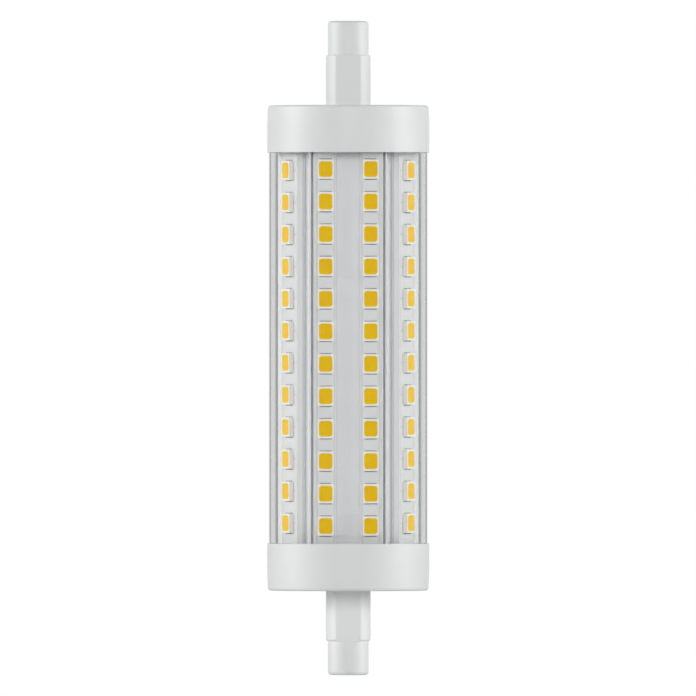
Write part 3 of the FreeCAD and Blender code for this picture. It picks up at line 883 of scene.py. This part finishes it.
def inner_finishes():
    """Gives each node that stays its own finish."""
    finishes = {
        # Silicone-rubber wire insulation, extruded: soft white and matt
        speckled("extruded_silicone_rubber", "CFCFC9", "D9D9D3", 0.5, 0.6):
            ["upper_contact_wire", "lower_contact_wire", "output_wires"],
        # White solder mask on glass-epoxy laminate
        speckled("solder_mask_on_laminate", "D6D8D6", "E0E1DF", 0.6, 0.4): ["link_ring"],
        # Polypropylene sleeve, extruded: milky and satin
        speckled("extruded_polypropylene", "D5D6D2", "E2E3DF", 1.2, 0.45):
            ["insulating_sleeve"],
        # Glass-epoxy laminate under green solder mask, with a hint of its weave
        speckled("green_glass_epoxy_laminate", "1C5A2C", "2B7440", 0.4, 0.35, 0.3):
            ["driver_board"],
        # Epoxy moulding compound: black and dull
        speckled("black_epoxy_moulding", "151515", "222222", 0.1, 0.5):
            ["bridge_rectifier", "driver_chip"],
        # Flameproof lacquer, dipped over a ceramic core
        speckled("flameproof_lacquer", "4D6F80", "5F8496", 0.3, 0.45, 0.2):
            ["fusible_resistor"],
        # PBT capacitor box, moulded and filled with epoxy
        speckled("moulded_capacitor_box", "B98A1E", "C99A2C", 0.4, 0.4):
            ["film_capacitor"],
        # Epoxy coating, dipped: blue and glossy
        speckled("dipped_blue_epoxy", "1F4E86", "2A5F9C", 0.8, 0.3, 0.4):
            ["surge_varistor"],
        # Manganese-zinc ferrite, pressed and sintered: dark and dry
        speckled("sintered_ferrite", "2B2A2A", "3A3939", 0.15, 0.7):
            ["filter_choke_core", "inductor_core"],
        wound_copper(): ["filter_choke_winding", "inductor_winding"],
        # Heat-shrunk polyester sleeve over an aluminium can
        speckled("heat_shrunk_sleeve", "16181C", "20242A", 1.0, 0.3, 0.3):
            ["smoothing_capacitor", "output_capacitor"],
    }
    for material, nodes in finishes.items():
        for node in nodes:
            mesh = NODES[node].data
            mesh.materials.clear()
            mesh.materials.append(material)


# Studio

# Distances in metres and angles in degrees. The soft lamps end more than 2 degrees above the
# camera's level, because the upright tube mirrors whatever stands level with the camera
LAMP_DISTANCE = 6.0
FRONT_LAMP = (10.5, (2.33, 1.6), 101)
SIDE_LAMP = (14, (2.2, 2.4), 170)
SIDE_AZIMUTH = 85
WORLD_FILL = 0.18
FLOOR_DROP = 0.6
FLOOR_SIZE = 40
FLOOR_GLOW = 0.3
CAMERA_DISTANCE = 4.5
CAMERA_SHIFT = -0.045 * MM
CAMERA_LENS = 1290.0


def soft_lamp(name, azimuth, elevation, size, watts):
    """Rectangular soft lamp that faces the object, azimuth from the front towards +X."""
    light = bpy.data.lights.new(name, "AREA")
    light.shape = "RECTANGLE"
    light.size, light.size_y = size
    light.energy = watts
    lamp = bpy.data.objects.new(name, light)
    bpy.context.collection.objects.link(lamp)
    around, up = math.radians(azimuth), math.radians(elevation)
    back = Vector((math.sin(around) * math.cos(up), -math.cos(around) * math.cos(up),
                   math.sin(up)))
    lamp.location = back * LAMP_DISTANCE
    lamp.rotation_euler = back.to_track_quat("Z", "Y").to_euler()


def studio_world():
    """Dim all-round light; white where the camera, glass or gloss sees past the lamp."""
    world = bpy.data.worlds.new("studio")
    bpy.context.scene.world = world
    world.use_nodes = True
    tree = world.node_tree
    tree.nodes.clear()
    rays = add_node(tree, "ShaderNodeLightPath").outputs
    seen = add_node(tree, "ShaderNodeMath", {
        0: rays["Is Camera Ray"], 1: rays["Is Transmission Ray"]}, operation="MAXIMUM")
    white = add_node(tree, "ShaderNodeMath", {
        0: seen.outputs[0], 1: rays["Is Glossy Ray"]}, operation="MAXIMUM")
    strength = add_node(tree, "ShaderNodeMapRange", {
        "Value": white.outputs[0], "To Min": WORLD_FILL, "To Max": 1.0})
    shade = add_node(tree, "ShaderNodeBackground", {
        "Color": linear("FFFFFF"), "Strength": strength.outputs[0]})
    add_node(tree, "ShaderNodeOutputWorld", {"Surface": shade.outputs[0]})


def studio_floor():
    """Plain pale floor below the lamp, nearly white to the camera, which holds its shadow."""
    deselect()
    bpy.ops.mesh.primitive_plane_add(size=FLOOR_SIZE, location=(0, 0, -FLOOR_DROP))
    apply_place()
    floor = named("studio_floor")
    material, tree = started("pale_studio_floor")
    place = add_node(tree, "ShaderNodeTexCoord").outputs["Object"]
    cloud = add_node(tree, "ShaderNodeTexNoise", {
        "Vector": place, "Scale": per_mm(600), "Detail": 1.0})
    colour = add_node(tree, "ShaderNodeMix", {
        "Factor": cloud.outputs[0], 6: linear("F0F0F0"), 7: linear("F2F2F2")},
        data_type="RGBA")
    rays = add_node(tree, "ShaderNodeLightPath").outputs
    glow = add_node(tree, "ShaderNodeMath", {
        0: rays["Is Camera Ray"], 1: FLOOR_GLOW}, operation="MULTIPLY")
    shader = add_node(tree, "ShaderNodeBsdfPrincipled", {
        "Base Color": colour.outputs[2], "Roughness": 0.8, "Specular IOR Level": 0.2,
        "Emission Color": linear("FFFFFF"), "Emission Strength": glow.outputs[0]})
    add_node(tree, "ShaderNodeOutputMaterial", {"Surface": shader.outputs[0]})
    floor.data.materials.append(material)


def studio_camera():
    """Level camera in front of the lamp's middle, far off with a long lens."""
    lens = bpy.data.cameras.new("camera")
    lens.lens = CAMERA_LENS
    lens.sensor_width = 36.0
    lens.clip_end = 50.0
    camera = bpy.data.objects.new("camera", lens)
    bpy.context.collection.objects.link(camera)
    camera.location = (CAMERA_SHIFT, -CAMERA_DISTANCE, 0)
    camera.rotation_euler = (math.radians(90), 0, 0)
    bpy.context.scene.camera = camera


end_cap(moulded_pbt())
cover_tube(extruded_polycarbonate())
contact_pins(nickel_plated_brass())
sink_extrusion(extruded_aluminium())
boards_and_diodes()
inner_finishes()

studio_world()
studio_floor()
studio_camera()
soft_lamp("front_soft_lamp", 0, *FRONT_LAMP)
soft_lamp("right_soft_lamp", SIDE_AZIMUTH, *SIDE_LAMP)
soft_lamp("left_soft_lamp", -SIDE_AZIMUTH, *SIDE_LAMP)
bpy.context.scene.view_settings.view_transform = "Standard"
